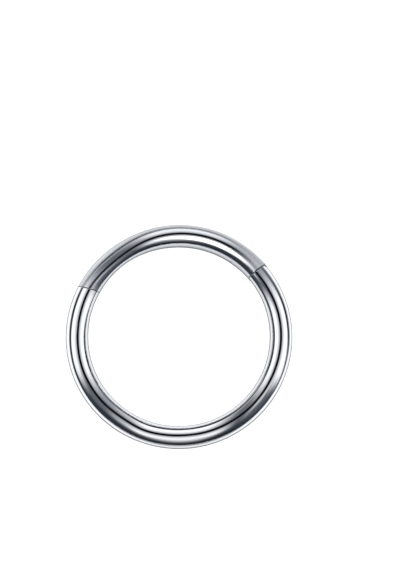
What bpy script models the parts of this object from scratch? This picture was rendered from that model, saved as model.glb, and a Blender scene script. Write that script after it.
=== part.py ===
"""A hinged segment ring for an ear's helix: a ring of round wire whose short arc swings open.

Lengths are in metres. The ring lies flat on z = 0 with its axis along +Z, and the origin is
under its centre. Angles run counter-clockwise from +X, seen from above. The long arc ends in a
thin tongue, which a fork at the end of the short arc straddles, and one pin goes through both.
The short arc's free end has a nub that clicks into a countersunk socket in the long arc.
"""

from math import asin, cos, pi, radians, sin, tan

import bmesh
import bpy
from mathutils import Vector

MM = 0.001

# The ring
INNER_DIAMETER = 9.5 * MM
WIRE_DIAMETER = 1.2 * MM
SEAM_GAP = 0.03 * MM  # between the ends of the two arcs when the ring is closed

# Where the ring is cut in two
HINGE_ANGLE = radians(39.6)
CATCH_ANGLE = radians(152.8)
CATCH_LEAN = radians(10.0)  # the catch's cut leans this far from radial, towards the long arc outside

# The hinge
TONGUE_THICKNESS = 0.40 * MM
TONGUE_CLEARANCE = 0.03 * MM  # on each side, to the fork's cheeks
PIN_DIAMETER = 0.34 * MM
PIN_CLEARANCE = 0.02 * MM  # all round the pin
PIN_SETBACK = 0.78 * MM  # from the seam to the pin's axis
PIN_COVER = 0.14 * MM  # metal between the pin's hole and the wire's outer side
EYE_WALL = 0.31 * MM  # metal between the pin's hole and the tongue's tip

# The catch
NUB_DIAMETER = 0.32 * MM
NUB_LENGTH = 0.30 * MM
NUB_CLEARANCE = 0.04 * MM  # round the nub and past its tip

# Facets
RING_SEGMENTS = 96  # a multiple of four, so that corners lie on both axes
WIRE_SIDES = 32  # a multiple of four, so that flats lie on the top and on the floor
PIN_SIDES = 24
NUB_SIDES = 16
CURVE_STEPS = 8  # along a rounded end or a dome

# Worked out from the sizes above
WIRE_RADIUS = WIRE_DIAMETER / 2
MID_RADIUS = INNER_DIAMETER / 2 + WIRE_RADIUS
HOLE_RADIUS = PIN_DIAMETER / 2 + PIN_CLEARANCE
EYE_RADIUS = HOLE_RADIUS + EYE_WALL
PIN_CIRCLE = MID_RADIUS + WIRE_RADIUS - PIN_COVER - HOLE_RADIUS  # from the ring's axis to the pin
PIN_ANGLE = HINGE_ANGLE + asin(PIN_SETBACK / PIN_CIRCLE)
NUB_RADIUS = NUB_DIAMETER / 2
REACH = 2 * WIRE_DIAMETER  # how far a cutter runs past the wire
FAR = 2 * MID_RADIUS + REACH  # well outside the ring
WELD = MM / 10000


# Plan points

def polar(radius, angle):
    return Vector((radius * cos(angle), radius * sin(angle)))


def spread(start, end, steps):
    return [start + (end - start) * i / steps for i in range(steps + 1)]


def at_hinge(back, out):
    """A point measured from the pin: back to the long arc, and out from the ring's centre."""
    return (
        polar(PIN_CIRCLE, PIN_ANGLE)
        + back * polar(1, HINGE_ANGLE - pi / 2)
        + out * polar(1, HINGE_ANGLE)
    )


def round_pin(radius, start, end):
    """Points on a circle about the pin, its angles measured from at_hinge's back direction."""
    angles = spread(start, end, CURVE_STEPS)
    return [at_hinge(radius * cos(angle), radius * sin(angle)) for angle in angles]


def catch_normal():
    """The way the short arc's free end faces."""
    return polar(1, CATCH_ANGLE + CATCH_LEAN + pi / 2)


def catch_centre(shift):
    """The middle of the wire at the catch's cut, moved along the cut's normal."""
    return polar(MID_RADIUS, CATCH_ANGLE) + shift * catch_normal()


def short_arc_outline(hinge_end, shift):
    """The plan region of the short arc, counter-clockwise: its hinge end, round the outside of
    the ring, and back along the catch's cut, which is moved along its normal by shift."""
    outside = [polar(FAR, angle) for angle in spread(PIN_ANGLE, CATCH_ANGLE, CURVE_STEPS)]
    along = REACH * polar(1, CATCH_ANGLE + CATCH_LEAN)
    cut = [catch_centre(shift) + along, catch_centre(shift) - along]
    return [*hinge_end, *outside, *cut, Vector((0, 0))]


def catch_exit_angle():
    """How far off the catch's normal the nub leaves, as the short arc turns about the pin."""
    arm = catch_centre(0) - polar(PIN_CIRCLE, PIN_ANGLE)
    leaving = Vector((arm.y, -arm.x))
    return leaving.angle(-catch_normal())


# Shapes

def add_object(name, shape):
    """Makes an object from a bmesh, its faces turned outwards."""
    bmesh.ops.recalc_face_normals(shape, faces=shape.faces[:])
    mesh = bpy.data.meshes.new(name)
    shape.to_mesh(mesh)
    shape.free()
    obj = bpy.data.objects.new(name, mesh)
    bpy.context.scene.collection.objects.link(obj)
    return obj


def spun(name, points, closed, centre, sides):
    """Turns points of (distance from the axis, height) once round Z into a closed surface."""
    shape = bmesh.new()
    rim = [shape.verts.new((distance, 0, height)) for distance, height in points]
    count = len(rim) if closed else len(rim) - 1
    edges = [shape.edges.new((rim[i], rim[(i + 1) % len(rim)])) for i in range(count)]
    bmesh.ops.spin(
        shape, geom=rim + edges, cent=centre, axis=(0, 0, 1), angle=2 * pi, steps=sides
    )
    bmesh.ops.remove_doubles(shape, verts=shape.verts[:], dist=WELD)
    return add_object(name, shape)


def whole_ring(name):
    """The uncut ring. The wire's flats touch its true circle, so its height is exact."""
    corner_radius = WIRE_RADIUS / cos(pi / WIRE_SIDES)
    turns = [2 * pi * (i + 0.5) / WIRE_SIDES for i in range(WIRE_SIDES)]
    section = [
        (MID_RADIUS + corner_radius * cos(turn), WIRE_RADIUS + corner_radius * sin(turn))
        for turn in turns
    ]
    ring = spun(name, section, True, (0, 0, 0), RING_SEGMENTS)
    ring.data.shade_smooth()
    return ring


def prism(name, outline, bottom, top):
    """An upright prism on a plan outline."""
    shape = bmesh.new()
    base = shape.faces.new([shape.verts.new((point.x, point.y, bottom)) for point in outline])
    grown = bmesh.ops.extrude_face_region(shape, geom=[base])["geom"]
    risen = [item for item in grown if isinstance(item, bmesh.types.BMVert)]
    bmesh.ops.translate(shape, verts=risen, vec=(0, 0, top - bottom))
    return add_object(name, shape)


def turned(name, profile, sides, place, axis):
    """A turned piece whose profile of (radius, height) starts and ends on its axis."""
    piece = spun(name, profile, False, (0, 0, 0), sides)
    piece.location = place
    piece.rotation_euler = axis.to_track_quat("Z", "Y").to_euler()
    return piece


def rod(name, radius, sides):
    """A plain rod on the pin's axis, longer than the wire is thick."""
    half = WIRE_DIAMETER
    profile = [(0, -half), (radius, -half), (radius, half), (0, half)]
    place = polar(PIN_CIRCLE, PIN_ANGLE).to_3d() + Vector((0, 0, WIRE_RADIUS))
    return turned(name, profile, sides, place, Vector((0, 0, 1)))


def helper(obj):
    """Marks an object that only shapes others."""
    obj.hide_render = True
    obj.display_type = "WIRE"
    return obj


def shape_with(obj, operation, other):
    modifier = obj.modifiers.new(f"{operation.lower()} {other.name}", "BOOLEAN")
    modifier.operation = operation
    modifier.solver = "EXACT"
    modifier.object = other


def polished_steel(name, colour, roughness):
    material = bpy.data.materials.new(name)
    material.use_nodes = True
    shader = material.node_tree.nodes["Principled BSDF"]
    shader.inputs["Base Color"].default_value = (*colour, 1)
    shader.inputs["Metallic"].default_value = 1
    shader.inputs["Roughness"].default_value = roughness
    return material


# Cutters

def room_for_short_arc():
    """All that the short arc takes from the whole ring, as far as the tongue's rounded tip."""
    tip = [at_hinge(-EYE_RADIUS, -REACH), *round_pin(EYE_RADIUS, pi, pi / 2), at_hinge(0, REACH)]
    outline = short_arc_outline(tip, SEAM_GAP / 2)
    return helper(prism("room_for_short_arc", outline, -REACH, WIRE_DIAMETER + REACH))


def room_for_cheek(name, bottom, top):
    """What a cheek of the fork takes from the long arc, beside the tongue."""
    shoulder = PIN_SETBACK + SEAM_GAP / 2
    outline = [
        at_hinge(-REACH, -REACH),
        at_hinge(shoulder, -REACH),
        at_hinge(shoulder, REACH),
        at_hinge(-REACH, REACH),
    ]
    return helper(prism(name, outline, bottom, top))


def short_arc_region():
    """What the short arc keeps of the whole ring. The fork's outer corner is rounded about the
    pin, so that it turns past the long arc's shoulder."""
    tail = PIN_SETBACK - SEAM_GAP / 2
    end = [at_hinge(tail, -REACH), *round_pin(tail, 0, pi / 2), at_hinge(0, REACH)]
    outline = short_arc_outline(end, -SEAM_GAP / 2)
    return helper(prism("short_arc_region", outline, -REACH, WIRE_DIAMETER + REACH))


def tongue_slot():
    """The fork's slot, cut right through the wire from its inner to its outer side."""
    bottom_of_slot = EYE_RADIUS + SEAM_GAP
    half = TONGUE_THICKNESS / 2 + TONGUE_CLEARANCE
    outline = [
        at_hinge(-bottom_of_slot, -REACH),
        at_hinge(REACH, -REACH),
        at_hinge(REACH, REACH),
        at_hinge(-bottom_of_slot, REACH),
    ]
    return helper(prism("tongue_slot", outline, WIRE_RADIUS - half, WIRE_RADIUS + half))


def catch_socket():
    """A countersunk hole, flared as far as the nub's way out slants."""
    flare = tan(catch_exit_angle())
    depth = NUB_LENGTH - SEAM_GAP + NUB_CLEARANCE
    bottom_radius = NUB_RADIUS + NUB_CLEARANCE
    outside = SEAM_GAP
    profile = [
        (0, -outside),
        (bottom_radius + (depth + outside) * flare, -outside),
        (bottom_radius, depth),
        (0, depth),
    ]
    place = catch_centre(SEAM_GAP / 2).to_3d() + Vector((0, 0, WIRE_RADIUS))
    socket = turned("catch_socket", profile, PIN_SIDES, place, catch_normal().to_3d())
    return helper(socket)


def catch_nub():
    """The round-tipped nub, rooted in the short arc's free end."""
    root = NUB_DIAMETER
    dome = min(NUB_RADIUS, NUB_LENGTH)
    tip = [
        (NUB_RADIUS * cos(angle), NUB_LENGTH - dome + dome * sin(angle))
        for angle in spread(0, pi / 2, CURVE_STEPS)[:-1]
    ]
    profile = [(0, -root), (NUB_RADIUS, -root), *tip, (0, NUB_LENGTH)]
    place = catch_centre(-SEAM_GAP / 2).to_3d() + Vector((0, 0, WIRE_RADIUS))
    nub = turned("catch_nub", profile, NUB_SIDES, place, catch_normal().to_3d())
    return helper(nub)


# Pieces

def ring_body(pin_hole, steel):
    """The long fixed arc, with the tongue at one end and the socket at the other."""
    half = TONGUE_THICKNESS / 2
    over = room_for_cheek("room_for_upper_cheek", WIRE_RADIUS + half, WIRE_DIAMETER + REACH)
    under = room_for_cheek("room_for_lower_cheek", -REACH, WIRE_RADIUS - half)
    body = whole_ring("ring_body")
    body.data.materials.append(steel)
    for cutter in (room_for_short_arc(), over, under, pin_hole, catch_socket()):
        shape_with(body, "DIFFERENCE", cutter)
    return body


def hinged_segment(pin_hole, steel, hinge):
    """The short arc that swings, with the fork at one end and the nub at the other."""
    segment = whole_ring("hinged_segment")
    segment.data.materials.append(steel)
    shape_with(segment, "INTERSECT", short_arc_region())
    shape_with(segment, "DIFFERENCE", tongue_slot())
    shape_with(segment, "DIFFERENCE", pin_hole)
    shape_with(segment, "UNION", catch_nub())
    segment.parent = hinge
    segment.location = -hinge.location
    return segment


def hinge_pin(steel, hinge):
    """The pin, its ends trimmed flush with the wire's surface."""
    pin = rod("hinge_pin", PIN_DIAMETER / 2, PIN_SIDES)
    pin.data.materials.append(steel)
    shape_with(pin, "INTERSECT", helper(whole_ring("wire_surface")))
    pin.parent = hinge
    pin.location -= hinge.location
    return pin


def hinge_axis():
    hinge = bpy.data.objects.new("hinge_axis", None)
    hinge.location = polar(PIN_CIRCLE, PIN_ANGLE).to_3d()
    hinge.empty_display_size = WIRE_DIAMETER
    bpy.context.scene.collection.objects.link(hinge)
    return hinge


def main():
    for obj in list(bpy.data.objects):
        bpy.data.objects.remove(obj)
    body_steel = polished_steel("body_steel", (0.80, 0.81, 0.83), 0.05)
    segment_steel = polished_steel("segment_steel", (0.76, 0.77, 0.80), 0.09)
    pin_steel = polished_steel("pin_steel", (0.70, 0.71, 0.74), 0.15)
    hinge = hinge_axis()
    pin_hole = helper(rod("pin_hole", HOLE_RADIUS, PIN_SIDES))
    ring_body(pin_hole, body_steel)
    hinged_segment(pin_hole, segment_steel, hinge)
    hinge_pin(pin_steel, hinge)


main()
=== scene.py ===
"""Looks of the hinged helix ring: finely made steel arcs on a pale floor, under a soft tent.

Lengths are in metres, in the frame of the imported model. The ring lies flat on z = 0 with its
axis along +Z, and the short arc is on the +Y side. Angles run counter-clockwise from +X.
"""

from collections import namedtuple
from math import asin, cos, degrees, exp, hypot, pi, radians, sin, tan

import bmesh
import bpy
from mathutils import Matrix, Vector


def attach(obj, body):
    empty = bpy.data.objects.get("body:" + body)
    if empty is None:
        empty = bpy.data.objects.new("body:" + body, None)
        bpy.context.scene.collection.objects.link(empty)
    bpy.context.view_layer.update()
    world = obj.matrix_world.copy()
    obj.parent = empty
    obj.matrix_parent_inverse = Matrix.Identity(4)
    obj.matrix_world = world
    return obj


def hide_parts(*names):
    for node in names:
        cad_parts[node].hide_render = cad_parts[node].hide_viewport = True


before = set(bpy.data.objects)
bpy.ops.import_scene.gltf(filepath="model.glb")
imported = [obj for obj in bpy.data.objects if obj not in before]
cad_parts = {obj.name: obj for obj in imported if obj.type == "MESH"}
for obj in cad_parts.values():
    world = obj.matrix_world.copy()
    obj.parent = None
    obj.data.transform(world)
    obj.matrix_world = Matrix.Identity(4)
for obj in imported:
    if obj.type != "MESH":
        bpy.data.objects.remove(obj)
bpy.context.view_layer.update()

MM = 0.001

# Sizes repeated from the part's source
WIRE_RADIUS = 0.6 * MM
MID_RADIUS = 5.35 * MM
SEAM_GAP = 0.03 * MM
HINGE_ANGLE = radians(39.6)
CATCH_ANGLE = radians(152.8)
CATCH_LEAN = radians(10.0)
PIN_RADIUS = 0.17 * MM
PIN_SETBACK = 0.78 * MM
PIN_CIRCLE = 5.62 * MM
PIN_ANGLE = HINGE_ANGLE + asin(PIN_SETBACK / PIN_CIRCLE)
EYE_RADIUS = 0.50 * MM
NUB_RADIUS = 0.16 * MM
NUB_LENGTH = 0.30 * MM
NUB_CLEARANCE = 0.04 * MM
SOCKET_FLARE = radians(28)

# Sizes of the visible pieces that differ from the source
TONGUE_HALF = 0.221 * MM  # fills the slot up to a hairline
SLOT_HALF = 0.228 * MM
PIN_HAIRLINE = 0.004 * MM
HINGE_RELIEF = 0.04 * MM  # taken off the short arc where it meets the long one at the hinge
EDGE_BREAK = 0.015 * MM  # radius of the rounded rims on the cut ends
PLAIN_FROM = 1.6 * EDGE_BREAK  # the wire is at its full thickness from here

# Slant of the wire's section, as humps of size, centre and width. They put the highlights and
# the dark line where the photograph shows them. The solids have a round section.
SHORT_ARC_HUMPS = ((0.075, 0.25, 0.30), (-0.34, 0.79, 0.19))  # along the arc, from 0 to 1
LONG_ARC_END_HUMPS = ((-0.13, 158, 34), (-0.22, 404, 27))  # in degrees, as all of the long arc's
LONG_ARC_BEND_HUMPS = ((0.03, 200, 10), (-0.08, 235, 10), (0.04, 251, 8), (-0.03, 273, 10))
SLANT_STARTS = (-0.02, 0.08)  # the short arc's slant grows over this stretch, next to the hinge

# Fineness of the visible pieces
SIDES = 96
STATION_STEP = radians(1.0)
RIM_STEPS = 5
ROUND_STEPS = 24
DOME_STEPS = 10
HOLE_SIDES = 64
WELD = MM / 20000
SHARP_ANGLE = radians(35)

# Cutters, and lengths by which they run past what they shape
REACH = 2.4 * MM
ROD_HALF = 1.2 * MM
OVERLAP = 0.1 * MM
NUB_ROOT = 0.3 * MM
CORNER_START = radians(5)
BEFORE_HINGE = radians(4)
PAST_TONGUE = radians(20)
PAST_PIN = radians(18)
CATCH_FADE = radians(14)  # the catch's leaning cut fades into square sections over this stretch


def polar(radius, angle):
    return Vector((radius * cos(angle), radius * sin(angle)))


def smooth_step(low, high, value):
    share = min(max((value - low) / (high - low), 0), 1)
    return share * share * (3 - 2 * share)


# The wire's surface

def humps(value, shapes):
    return sum(size * exp(-((value - centre) / width) ** 2) for size, centre, width in shapes)


def short_arc_slant(angle):
    share = (angle - HINGE_ANGLE) / (CATCH_ANGLE - HINGE_ANGLE)
    return smooth_step(*SLANT_STARTS, share) * humps(share, SHORT_ARC_HUMPS)


def long_arc_slant(angle):
    at = degrees(angle)
    return humps(at, LONG_ARC_END_HUMPS) + humps(at, LONG_ARC_BEND_HUMPS)


def wire_point(angle, turn, radius, slant):
    """A point of the wire: angle is round the ring, and turn is round the wire from outside.
    A slant tilts the section without making it wider or higher."""
    out = MID_RADIUS + radius * (cos(turn) + slant * sin(turn)) / hypot(1, slant)
    return Vector((out * cos(angle), out * sin(angle), WIRE_RADIUS + radius * sin(turn)))


def catch_shear(turn):
    """How far round the ring the leaning catch cut is from its middle, at this place on the wire."""
    out = MID_RADIUS + WIRE_RADIUS * cos(turn)
    return CATCH_LEAN - asin(MID_RADIUS * sin(CATCH_LEAN) / out)


def stations(length):
    """Places along an arc, as (angle from its start, radius taken off), with rounded rims."""
    rim = [
        (EDGE_BREAK * (1 - cos(step)), EDGE_BREAK * (1 - sin(step)))
        for step in [pi / 2 * i / RIM_STEPS for i in range(RIM_STEPS + 1)]
    ]
    rim.append((PLAIN_FROM, 0))
    start = [(along / MID_RADIUS, off) for along, off in rim]
    first, last = start[-1][0], length - start[-1][0]
    count = round((last - first) / STATION_STEP)
    middle = [(first + (last - first) * i / count, 0) for i in range(1, count)]
    end = [(length - along, off) for along, off in reversed(start)]
    return start + middle + end


def arc_solid(name, start, end, slant_at, catch_at_start=False):
    """A closed length of wire from one angle to another, its ends flat and its rims rounded.
    The end at the catch leans. It is the last one, or the first one where that is asked for."""
    shape = bmesh.new()
    rows = []
    for along, off in stations(end - start):
        angle = start + along
        from_catch = along if catch_at_start else end - angle
        lean = 1 - smooth_step(0, CATCH_FADE, from_catch)
        row = []
        for side in range(SIDES):
            turn = 2 * pi * side / SIDES
            place = angle + lean * catch_shear(turn)
            point = wire_point(place, turn, WIRE_RADIUS - off, slant_at(angle))
            row.append(shape.verts.new(point))
        rows.append(row)
    for row, after in zip(rows, rows[1:]):
        for side in range(SIDES):
            following = (side + 1) % SIDES
            shape.faces.new((row[side], row[following], after[following], after[side]))
    shape.faces.new(rows[0])
    shape.faces.new(rows[-1])
    return add_object(name, shape)


# Building blocks

def add_object(name, shape):
    bmesh.ops.recalc_face_normals(shape, faces=shape.faces[:])
    mesh = bpy.data.meshes.new(name)
    shape.to_mesh(mesh)
    shape.free()
    obj = bpy.data.objects.new(name, mesh)
    bpy.context.scene.collection.objects.link(obj)
    return obj


def prism(name, outline, bottom, top):
    shape = bmesh.new()
    base = shape.faces.new([shape.verts.new((point.x, point.y, bottom)) for point in outline])
    grown = bmesh.ops.extrude_face_region(shape, geom=[base])["geom"]
    risen = [item for item in grown if isinstance(item, bmesh.types.BMVert)]
    bmesh.ops.translate(shape, verts=risen, vec=(0, 0, top - bottom))
    return add_object(name, shape)


def turned(name, profile, place, axis):
    """A turned piece whose profile of (radius, height) starts and ends on its axis."""
    shape = bmesh.new()
    rim = [shape.verts.new((distance, 0, height)) for distance, height in profile]
    edges = [shape.edges.new(pair) for pair in zip(rim, rim[1:])]
    bmesh.ops.spin(
        shape, geom=rim + edges, cent=(0, 0, 0), axis=(0, 0, 1), angle=2 * pi, steps=HOLE_SIDES
    )
    bmesh.ops.remove_doubles(shape, verts=shape.verts[:], dist=WELD)
    shape.transform(axis.to_track_quat("Z", "Y").to_matrix().to_4x4())
    bmesh.ops.translate(shape, verts=shape.verts[:], vec=place)
    return add_object(name, shape)


def cut(obj, operation, *tools):
    """Shapes obj with each tool and applies it. The tools are then gone."""
    for tool in tools:
        modifier = obj.modifiers.new("cut", "BOOLEAN")
        modifier.operation = operation
        modifier.solver = "EXACT"
        modifier.object = tool
        made = bpy.data.meshes.new_from_object(
            obj.evaluated_get(bpy.context.evaluated_depsgraph_get())
        )
        obj.modifiers.clear()
        obj.data = made
        bpy.data.objects.remove(tool)
    return obj


def at_hinge(back, out):
    """A point measured from the pin: back to the long arc, and out from the ring's centre."""
    return (
        polar(PIN_CIRCLE, PIN_ANGLE)
        + back * polar(1, HINGE_ANGLE - pi / 2)
        + out * polar(1, HINGE_ANGLE)
    )


def round_pin(radius, start, end):
    steps = [start + (end - start) * i / ROUND_STEPS for i in range(ROUND_STEPS + 1)]
    return [at_hinge(radius * cos(step), radius * sin(step)) for step in steps]


def catch_frame(shift):
    """A point on the catch's cut moved along its normal, and the way the short arc's end faces."""
    normal = polar(1, CATCH_ANGLE + CATCH_LEAN + pi / 2)
    place = polar(MID_RADIUS, CATCH_ANGLE) + shift * normal
    return place.to_3d() + Vector((0, 0, WIRE_RADIUS)), normal.to_3d()


# Pieces, and what shapes them

def rod(name, radius):
    """A rod on the pin's axis, longer than the wire is thick."""
    profile = [(0, -ROD_HALF), (radius, -ROD_HALF), (radius, ROD_HALF), (0, ROD_HALF)]
    place = polar(PIN_CIRCLE, PIN_ANGLE).to_3d() + Vector((0, 0, WIRE_RADIUS))
    return turned(name, profile, place, Vector((0, 0, 1)))


def socket():
    """The countersunk hole for the nub, as a cutter."""
    depth = NUB_LENGTH - SEAM_GAP + NUB_CLEARANCE
    bottom = NUB_RADIUS + NUB_CLEARANCE
    mouth = bottom + (depth + SEAM_GAP / 2) * tan(SOCKET_FLARE)
    profile = [(0, -SEAM_GAP / 2), (mouth, -SEAM_GAP / 2), (bottom, depth), (0, depth)]
    place, normal = catch_frame(SEAM_GAP / 2)
    return turned("socket", profile, place, normal)


def nub():
    """The round-tipped nub, with a root inside the short arc's end."""
    dome = [pi / 2 * i / DOME_STEPS for i in range(DOME_STEPS)]
    straight = NUB_LENGTH - NUB_RADIUS
    tip = [(NUB_RADIUS * cos(step), straight + NUB_RADIUS * sin(step)) for step in dome]
    profile = [(0, -NUB_ROOT), (NUB_RADIUS, -NUB_ROOT), *tip, (0, NUB_LENGTH)]
    place, normal = catch_frame(-SEAM_GAP / 2)
    return turned("nub", profile, place, normal)


def pin_hole():
    return rod("pin_hole", PIN_RADIUS + PIN_HAIRLINE)


def long_arc():
    """The fixed arc, with the hinge's tongue at one end and the socket in the other."""
    half_gap = SEAM_GAP / 2 / MID_RADIUS
    start, end = CATCH_ANGLE + half_gap, HINGE_ANGLE + 2 * pi - half_gap
    body = arc_solid("ring_body_steel", start, end, long_arc_slant, catch_at_start=True)
    plan = [
        at_hinge(-EYE_RADIUS, -REACH),
        *round_pin(EYE_RADIUS, pi, pi / 2),
        at_hinge(0, REACH),
        at_hinge(PIN_SETBACK + OVERLAP, REACH),
        at_hinge(PIN_SETBACK + OVERLAP, -REACH),
    ]
    tongue = prism("tongue", plan, WIRE_RADIUS - TONGUE_HALF, WIRE_RADIUS + TONGUE_HALF)
    start, end = HINGE_ANGLE - BEFORE_HINGE, HINGE_ANGLE + PAST_TONGUE
    cut(tongue, "INTERSECT", arc_solid("whole", start, end, short_arc_slant))
    cut(body, "UNION", tongue)
    return cut(body, "DIFFERENCE", pin_hole(), socket())


def short_arc():
    """The swinging arc, with the hinge's fork at one end and the nub on the other."""
    half_gap = SEAM_GAP / 2 / MID_RADIUS
    start = HINGE_ANGLE + half_gap + HINGE_RELIEF / MID_RADIUS
    end = CATCH_ANGLE - half_gap
    segment = arc_solid("hinged_segment_steel", start, end, short_arc_slant)
    floor_of_slot = EYE_RADIUS + SEAM_GAP
    plan = [
        at_hinge(-floor_of_slot, -REACH),
        at_hinge(REACH, -REACH),
        at_hinge(REACH, REACH),
        at_hinge(-floor_of_slot, REACH),
    ]
    slot = prism("slot", plan, WIRE_RADIUS - SLOT_HALF, WIRE_RADIUS + SLOT_HALF)
    tail = PIN_SETBACK - SEAM_GAP / 2
    plan = [
        at_hinge(tail + OVERLAP, tail * sin(CORNER_START)),
        *round_pin(tail, CORNER_START, pi / 2),
        at_hinge(0, REACH),
        at_hinge(tail + OVERLAP, REACH),
    ]
    corner = prism("corner", plan, -REACH, REACH)
    cut(segment, "DIFFERENCE", slot, corner, pin_hole())
    return cut(segment, "UNION", nub())


def pin():
    """The hinge's pin, trimmed flush with the wire."""
    piece = rod("hinge_pin_steel", PIN_RADIUS)
    near = arc_solid("near", HINGE_ANGLE, HINGE_ANGLE + PAST_PIN, short_arc_slant)
    return cut(piece, "INTERSECT", near)


# Surfaces of the finished pieces

SAME_WAY = 0.99  # cosine from which two directions count as one
SEAM_SHADE_WITHIN = 2 * MM  # of the pin


def smooth_surfaces(obj):
    """Smooth shading, with sharp edges where the faces turn more than a little."""
    obj.data.shade_smooth()
    obj.data.set_sharp_from_angle(angle=SHARP_ANGLE)


def mark_seam_shade(obj):
    """The hinge's flat faces take the second material, a darker and rougher steel: painted shade
    that makes the seam show as a dark line. They are the tongue's and the slot's flats, and the
    two ends that meet at the seam."""
    across_seam = polar(1, HINGE_ANGLE + pi / 2)
    for face in obj.data.polygons:
        level = abs(face.center.z - WIRE_RADIUS)
        flat = abs(face.normal.z) > SAME_WAY and 0.9 * TONGUE_HALF < level < 1.1 * SLOT_HALF
        end = abs(face.normal.xy.dot(across_seam)) > SAME_WAY
        end = end and abs(face.center.xy.dot(across_seam)) < SEAM_GAP + HINGE_RELIEF
        from_pin = (face.center.xy - polar(PIN_CIRCLE, PIN_ANGLE)).length
        face.material_index = 1 if from_pin < SEAM_SHADE_WITHIN and (flat or end) else 0


# Node helpers

class Graph:
    """Short calls for making and joining shader nodes."""

    def __init__(self, tree):
        self.tree = tree

    def node(self, kind, **settings):
        made = self.tree.nodes.new(kind)
        for name, value in settings.items():
            setattr(made, name, value)
        return made

    def feed(self, socket, value):
        if isinstance(value, bpy.types.NodeSocket):
            self.tree.links.new(value, socket)
        else:
            socket.default_value = value

    def maths(self, operation, *values):
        made = self.node("ShaderNodeMath", operation=operation)
        for socket, value in zip(made.inputs, values):
            self.feed(socket, value)
        return made.outputs[0]

    def ramp(self, value, low, high, at_low=0.0, at_high=1.0):
        made = self.node("ShaderNodeMapRange", interpolation_type="SMOOTHSTEP")
        for socket, item in zip(made.inputs, (value, low, high, at_low, at_high)):
            self.feed(socket, item)
        return made.outputs[0]

    def mix(self, share, first, second):
        made = self.node("ShaderNodeMix", data_type="RGBA")
        self.feed(made.inputs["Factor"], share)
        self.feed(made.inputs[6], first)
        self.feed(made.inputs[7], second)
        return made.outputs[2]

    def split(self, vector):
        made = self.node("ShaderNodeSeparateXYZ")
        self.feed(made.inputs[0], vector)
        return made.outputs

    def from_axis(self, x, y):
        squares = self.maths("ADD", self.maths("MULTIPLY", x, x), self.maths("MULTIPLY", y, y))
        return self.maths("SQRT", squares)

    def seen(self):
        """1 where the camera sees the surface itself, and 0 where it is lit by it or mirrors it."""
        return self.node("ShaderNodeLightPath").outputs["Is Camera Ray"]


# Materials

DARKEST, LIGHTEST = 0.965, 1.02  # of the tint, as shares of the colour
LEAST_ROUGH, ROUGH_SPREAD = 0.7, 0.6  # as shares of the roughness
MARK_ROUGHNESS = 0.05
MARK_DEPTH = 1.5
SCRATCH_HEIGHT = 0.0006 * MM

SATIN_FROM_HINGE = radians(26)
SATIN_TO_CATCH = radians(20)
SATIN_AT_CATCH = 0.35
SATIN_ON_INSIDE = 0.2
INNER_SIDE = (-0.30 * MM, -0.05 * MM)  # from the wire's centre line
OUTER_SIDE = (0.12 * MM, 0.38 * MM)


def satin_places(graph, at, across, satin):
    """How much rougher the short arc is near the hinge, near the catch and on its outer side."""
    near_hinge = graph.ramp(at, HINGE_ANGLE, HINGE_ANGLE + SATIN_FROM_HINGE, satin, 0.0)
    not_inside = graph.ramp(across, *INNER_SIDE, SATIN_ON_INSIDE, 1.0)
    near_hinge = graph.maths("MULTIPLY", near_hinge, not_inside)
    catch_satin = SATIN_AT_CATCH * satin
    near_catch = graph.ramp(at, CATCH_ANGLE - SATIN_TO_CATCH, CATCH_ANGLE, 0.0, catch_satin)
    outside = graph.ramp(across, *OUTER_SIDE, 0.0, satin)
    return graph.maths("ADD", graph.maths("ADD", near_hinge, near_catch), outside)


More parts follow.
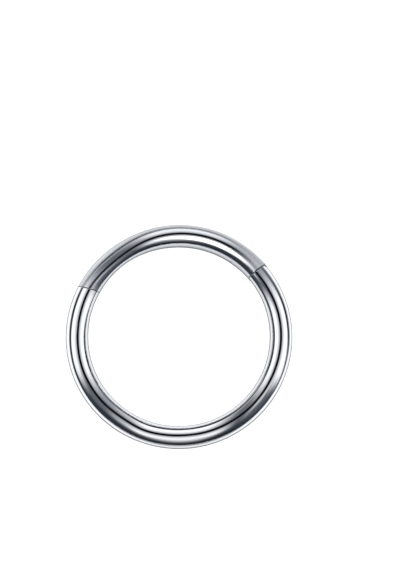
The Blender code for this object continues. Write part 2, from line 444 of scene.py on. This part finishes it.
def steel(name, colour, roughness, scratch, satin=0.0):
    """Polished surgical steel: fine polishing lines along the wire, and faint handling marks.
    Satin makes a piece less glossy at the short arc's two ends and along its outer side."""
    material = bpy.data.materials.new(name)
    material.use_nodes = True
    graph = Graph(material.node_tree)
    shader = material.node_tree.nodes["Principled BSDF"]
    shader.inputs["Metallic"].default_value = 1.0
    x, y, z = graph.split(graph.node("ShaderNodeTexCoord").outputs["Object"])
    out = graph.from_axis(x, y)
    at = graph.maths("ARCTAN2", y, x)
    across = graph.maths("SUBTRACT", out, MID_RADIUS)
    high = graph.maths("SUBTRACT", z, WIRE_RADIUS)
    along_wire = graph.maths("MULTIPLY", at, MID_RADIUS)
    round_wire = graph.maths("MULTIPLY", graph.maths("ARCTAN2", high, across), WIRE_RADIUS)
    on_wire = graph.node("ShaderNodeCombineXYZ")
    for socket, value in zip(on_wire.inputs, (along_wire, round_wire, out)):
        graph.feed(socket, value)

    def streaks(per_metre, stretch, detail):
        mapping = graph.node("ShaderNodeMapping")
        graph.feed(mapping.inputs["Vector"], on_wire.outputs[0])
        mapping.inputs["Scale"].default_value = (per_metre / stretch, per_metre, per_metre)
        noise = graph.node("ShaderNodeTexNoise")
        graph.feed(noise.inputs["Vector"], mapping.outputs[0])
        noise.inputs["Scale"].default_value = 1.0
        noise.inputs["Detail"].default_value = detail
        return noise.outputs["Fac"]

    fine = streaks(per_metre=60000, stretch=30, detail=2.0)
    broad = streaks(per_metre=2600, stretch=3, detail=2.0)
    marks = graph.ramp(streaks(per_metre=24000, stretch=14, detail=1.0), 0.66, 0.78)

    dark = (*[channel * DARKEST for channel in colour], 1)
    light = (*[min(channel * LIGHTEST, 1) for channel in colour], 1)
    graph.feed(shader.inputs["Base Color"], graph.mix(broad, dark, light))

    spread = graph.maths("MULTIPLY", broad, roughness * ROUGH_SPREAD)
    rough = graph.maths("ADD", spread, roughness * LEAST_ROUGH)
    rough = graph.maths("ADD", rough, graph.maths("MULTIPLY", marks, MARK_ROUGHNESS))
    if satin:
        rough = graph.maths("ADD", rough, satin_places(graph, at, across, satin))
    graph.feed(shader.inputs["Roughness"], rough)

    bump = graph.node("ShaderNodeBump")
    bump.inputs["Strength"].default_value = scratch
    bump.inputs["Distance"].default_value = SCRATCH_HEIGHT
    height = graph.maths("SUBTRACT", fine, graph.maths("MULTIPLY", marks, MARK_DEPTH))
    graph.feed(bump.inputs["Height"], height)
    graph.feed(shader.inputs["Normal"], bump.outputs[0])
    return material


# The photograph's frame: pixels, and the ring's centre in them

PHOTO_WIDTH, PHOTO_HEIGHT = 400, 570
PIXELS_PER_METRE = 19070
RING_AT = (179.0, 336.0)
CAMERA_ELEVATION = radians(79.2)
LENS = 200
SENSOR_WIDTH = 36

# The studio

TENT = (1.22, 1.23, 1.25)
BACKDROP = (0.97, 0.97, 0.97)
SLATE = (0.046, 0.063, 0.080)
NAVY = (0.007, 0.011, 0.018)
BLACK = (0.002, 0.002, 0.003)

# A card painted on the tent. Each set of cards is placed about its own pole, in degrees.
Card = namedtuple("Card", "azimuth elevation half_width half_height soft_across soft_up colour cover")
ABOUT_VERTICAL = (0.0, 0.0, 0.0)
ABOUT_MIRRORED_CAMERA = (radians(90) - CAMERA_ELEVATION, 0.0, 0.0)
CARDS = [
    (ABOUT_VERTICAL, [
        Card(0, 3, 128, 8.5, 40, 6, (0.010, 0.013, 0.018), 0.96),
        Card(72, 14, 76, 8.5, 40, 8, (0.009, 0.011, 0.015), 0.96),
        Card(184, 14, 44, 12, 24, 8, BLACK, 0.96),
        Card(32, 14, 12, 5, 16, 8, (0.02, 0.024, 0.03), 0.85),
    ]),
    (ABOUT_MIRRORED_CAMERA, [
        Card(47, 40, 15, 62, 24, 30, (0.16, 0.175, 0.205), 0.82),
        Card(130, 64, 14, 34, 24, 36, SLATE, 0.90),
        Card(262, -4, 64, 38, 36, 56, NAVY, 0.98),
        Card(220, 40, 16, 62, 20, 40, SLATE, 0.92),
        Card(236, 14, 24, 22, 26, 30, (0.025, 0.030, 0.042), 0.85),
        Card(303, 12, 20, 24, 26, 34, (0.015, 0.019, 0.028), 0.92),
        Card(322, 15, 16, 17, 20, 24, (0.016, 0.021, 0.030), 0.95),
        Card(320, 36, 13, 26, 18, 20, (0.08, 0.092, 0.115), 0.94),
        Card(303, 50, 8, 40, 16, 40, (0.035, 0.043, 0.056), 0.92),
        Card(0, 90, 180, 24, 1, 32, (0.12, 0.13, 0.16), 0.70),
        Card(0, 90, 180, 11, 1, 6, BLACK, 1.0),
    ]),
]

FILL_AT = Vector((0.9 * MM, 1.6 * MM, 6.4 * MM))
FILL_TOWARDS = radians(64)
FILL_SIZE = 5.0 * MM
FILL_SPREAD = radians(46)
FILL_POWER = 1.25e-5

# How brightly the floor glows for the wire: painted shadow next to the ring, and painted light that
# is dimmer on the far sides
FLOOR_HALF = 0.4
FLOOR_DARK_TO, FLOOR_LIT_FROM = 1.1 * MM, 1.9 * MM  # either way from the wire's centre line
LIT_INSIDE, LIT_OUTSIDE = 0.60, 0.78
DIMMED = 0.6
DIMMED_INSIDE = (0.5 * MM, 3.0 * MM)
DIMMED_BEHIND = (5.0 * MM, 8.0 * MM)
LIT_IN_FRONT = (-10.5 * MM, -6.3 * MM)
LIT_AT_RIGHT = (9.5 * MM, 13.0 * MM)


def studio_card(tree_name):
    """A node group that lays one soft-edged card on the tent, placed by azimuth and elevation."""
    group = bpy.data.node_groups.new(tree_name, "ShaderNodeTree")
    for name, kind in (
        ("Tent", "NodeSocketColor"),
        ("Azimuth", "NodeSocketFloat"),
        ("Elevation", "NodeSocketFloat"),
        ("At azimuth", "NodeSocketFloat"),
        ("At elevation", "NodeSocketFloat"),
        ("Half width", "NodeSocketFloat"),
        ("Half height", "NodeSocketFloat"),
        ("Softness across", "NodeSocketFloat"),
        ("Softness up", "NodeSocketFloat"),
        ("Card", "NodeSocketColor"),
        ("Cover", "NodeSocketFloat"),
    ):
        group.interface.new_socket(name=name, in_out="INPUT", socket_type=kind)
    group.interface.new_socket(name="Tent", in_out="OUTPUT", socket_type="NodeSocketColor")
    graph = Graph(group)
    given = graph.node("NodeGroupInput").outputs
    result = graph.node("NodeGroupOutput")
    apart = graph.maths("SUBTRACT", given["Azimuth"], given["At azimuth"])
    apart = graph.maths("WRAP", apart, 180.0, -180.0)
    above = graph.maths("SUBTRACT", given["Elevation"], given["At elevation"])

    def inside(distance, half, soft):
        near = graph.maths("SUBTRACT", half, graph.maths("MULTIPLY", soft, 0.5))
        far = graph.maths("ADD", half, graph.maths("MULTIPLY", soft, 0.5))
        return graph.ramp(graph.maths("ABSOLUTE", distance), near, far, 1.0, 0.0)

    across = inside(apart, given["Half width"], given["Softness across"])
    up = inside(above, given["Half height"], given["Softness up"])
    cover = graph.maths("MULTIPLY", graph.maths("MULTIPLY", across, up), given["Cover"])
    graph.feed(result.inputs[0], graph.mix(cover, given["Tent"], given["Card"]))
    return group


def tent():
    """The studio round the ring: a bright cloth tent with a few dark and grey cards. The camera
    itself sees a plain backdrop."""
    world = bpy.data.worlds.new("tent")
    world.use_nodes = True
    bpy.context.scene.world = world
    graph = Graph(world.node_tree)
    background = world.node_tree.nodes["Background"]
    way = graph.node("ShaderNodeTexCoord").outputs["Generated"]
    group = studio_card("studio_card")
    colour = (*TENT, 1)
    for pole, cards in CARDS:
        turned_way = graph.node("ShaderNodeVectorRotate", rotation_type="EULER_XYZ")
        graph.feed(turned_way.inputs["Vector"], way)
        turned_way.inputs["Rotation"].default_value = pole
        x, y, z = graph.split(turned_way.outputs[0])
        azimuth = graph.maths("DEGREES", graph.maths("ARCTAN2", y, x))
        elevation = graph.maths("DEGREES", graph.maths("ARCSINE", z))
        for card in cards:
            made = graph.node("ShaderNodeGroup", node_tree=group)
            places = card[:6]
            values = (colour, azimuth, elevation, *places, (*card.colour, 1), card.cover)
            for socket, value in zip(made.inputs, values):
                graph.feed(socket, value)
            colour = made.outputs[0]
    graph.feed(background.inputs["Color"], graph.mix(graph.seen(), colour, (*BACKDROP, 1)))
    background.inputs["Strength"].default_value = 1.0


def fill_light():
    """A small soft light over the ring's middle, turned to the short arc."""
    data = bpy.data.lights.new("fill_light", "AREA")
    data.shape = "DISK"
    data.size = FILL_SIZE
    data.spread = FILL_SPREAD
    data.energy = FILL_POWER
    light = bpy.data.objects.new("fill_light", data)
    bpy.context.scene.collection.objects.link(light)
    light.location = FILL_AT
    towards = polar(MID_RADIUS, FILL_TOWARDS).to_3d() - light.location
    light.rotation_mode = "QUATERNION"
    light.rotation_quaternion = towards.to_track_quat("-Z", "Y")
    light.visible_camera = False
    light.visible_diffuse = False


def floor():
    """A plain pale floor that glows. The camera sees it evenly bright, and the wire sees a painted
    pattern of light, with painted shadow next to the ring.
    """
    shape = bmesh.new()
    corners = ((-1, -1), (1, -1), (1, 1), (-1, 1))
    shape.faces.new([shape.verts.new((FLOOR_HALF * x, FLOOR_HALF * y, 0)) for x, y in corners])
    board = add_object("floor", shape)
    material = bpy.data.materials.new("pale_floor")
    material.use_nodes = True
    graph = Graph(material.node_tree)
    shader = material.node_tree.nodes["Principled BSDF"]
    shader.inputs["Base Color"].default_value = (0.78, 0.785, 0.79, 1)
    shader.inputs["Roughness"].default_value = 0.9
    shader.inputs["Specular IOR Level"].default_value = 0.0
    shader.inputs["Emission Color"].default_value = (*BACKDROP, 1)
    x, y = graph.split(graph.node("ShaderNodeNewGeometry").outputs["Position"])[:2]
    # Painted shadow and light: the glow fades out next to the wire, and it dims inside the ring,
    # behind it, far in front and at the right
    away = graph.maths("SUBTRACT", graph.from_axis(x, y), MID_RADIUS)
    inside = graph.ramp(away, -FLOOR_LIT_FROM, -FLOOR_DARK_TO, LIT_INSIDE, 0.0)
    inside = graph.maths("MULTIPLY", inside, graph.ramp(y, *DIMMED_INSIDE, 1.0, DIMMED))
    outside = graph.ramp(away, FLOOR_DARK_TO, FLOOR_LIT_FROM, 0.0, LIT_OUTSIDE)
    open_floor = graph.maths("ADD", inside, outside)
    in_front = graph.ramp(y, *LIT_IN_FRONT)
    behind = graph.ramp(y, *DIMMED_BEHIND, 1.0, DIMMED)
    at_right = graph.ramp(x, *LIT_AT_RIGHT, 1.0, 0.0)
    lit = graph.maths("MULTIPLY", graph.maths("MULTIPLY", in_front, behind), at_right)
    lit = graph.maths("MULTIPLY", open_floor, lit)
    graph.feed(shader.inputs["Emission Strength"], graph.maths("MAXIMUM", lit, graph.seen()))
    board.data.materials.append(material)


def camera():
    """At the photograph's angle, with a long lens, its aim set off so that the ring is low left."""
    data = bpy.data.cameras.new("camera")
    data.sensor_fit = "HORIZONTAL"
    data.sensor_width = SENSOR_WIDTH
    data.lens = LENS
    across = PHOTO_WIDTH / PIXELS_PER_METRE
    distance = across * data.lens / data.sensor_width
    data.clip_start, data.clip_end = distance / 50, 10
    eye = bpy.data.objects.new("camera", data)
    bpy.context.scene.collection.objects.link(eye)
    back = Vector((0, -cos(CAMERA_ELEVATION), sin(CAMERA_ELEVATION)))
    up = Vector((0, sin(CAMERA_ELEVATION), cos(CAMERA_ELEVATION)))
    right_by = (PHOTO_WIDTH / 2 - RING_AT[0]) / PIXELS_PER_METRE
    up_by = (RING_AT[1] - PHOTO_HEIGHT / 2) / PIXELS_PER_METRE
    aim = Vector((0, 0, WIRE_RADIUS)) + right_by * Vector((1, 0, 0)) + up_by * up
    eye.location = aim + distance * back
    eye.rotation_mode = "QUATERNION"
    eye.rotation_quaternion = (-back).to_track_quat("-Z", "Y")
    bpy.context.scene.camera = eye


# The scene

body_steel = steel("polished_body_steel", (0.86, 0.87, 0.89), 0.018, 0.4)
# Painted shade: the short arc and its pin are the long arc's steel made darker and bluer, for the
# greyer look the short arc has in this light
segment_steel = steel("segment_polish_painted_darker", (0.77, 0.785, 0.82), 0.07, 0.7, satin=0.27)
pin_steel = steel("pin_polish_painted_darker", (0.76, 0.775, 0.81), 0.07, 0.7, satin=0.27)
# Painted shade: a darker, rougher steel for the hinge's flats and the seam's end faces, so the seam
# shows as a dark line
seam_shade_steel = steel("seam_shade_steel", (0.52, 0.53, 0.55), 0.40, 1.0)

for make, body, node, slot, material in (
    (long_arc, "ring", "ring_body", "body_steel", body_steel),
    (short_arc, "segment", "hinged_segment", "segment_steel", segment_steel),
    (pin, "segment", "hinge_pin", "pin_steel", pin_steel),
):
    piece = make()
    smooth_surfaces(piece)
    piece.data.materials.clear()
    piece.data.materials.append(material)
    piece.data.materials.append(seam_shade_steel)
    mark_seam_shade(piece)
    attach(piece, body)
    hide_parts(node)

tent()
fill_light()
floor()
camera()
bpy.context.scene.view_settings.view_transform = "Standard"
